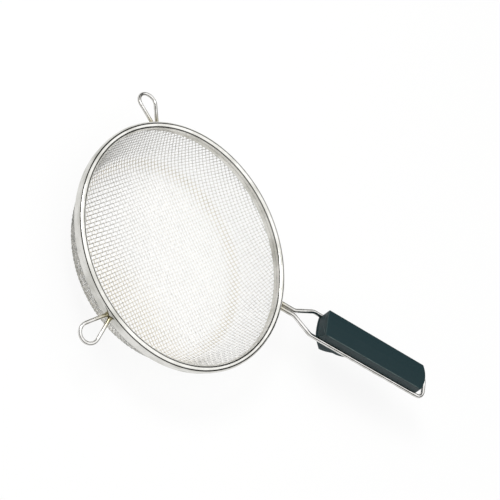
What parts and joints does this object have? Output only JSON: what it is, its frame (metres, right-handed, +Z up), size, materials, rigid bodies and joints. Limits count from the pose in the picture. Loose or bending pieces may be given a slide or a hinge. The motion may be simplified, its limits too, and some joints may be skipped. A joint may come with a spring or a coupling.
{
  "type": "wire mesh strainer",
  "caption": "Round wire-mesh strainer with a folded metal rim, wire rest loops and a hairpin wire handle in a black plastic grip, for draining and sifting food.",
  "frame": {"origin": "centre of the flat bottom of the mesh bowl, on the surface that it stands on", "axes": "+X along the handle away from the bowl, +Z up out of the open bowl"},
  "size_m": [0.3771, 0.2276, 0.0531],
  "materials": {
    "rim_sheet": "bright tinned sheet steel",
    "wire": "bright plated steel wire",
    "mesh": "woven tinned steel wire cloth",
    "grip": "satin black moulded plastic"
  },
  "bodies": {
    "root": {"rim_hoop": "rim_sheet", "rim_core_wire": "wire", "mesh_bowl": "mesh", "handle_wire": "wire", "rest_loop_left": "wire", "rest_loop_right": "wire", "grip_upper": "grip", "grip_lower": "grip"}
  },
  "joints": []
}
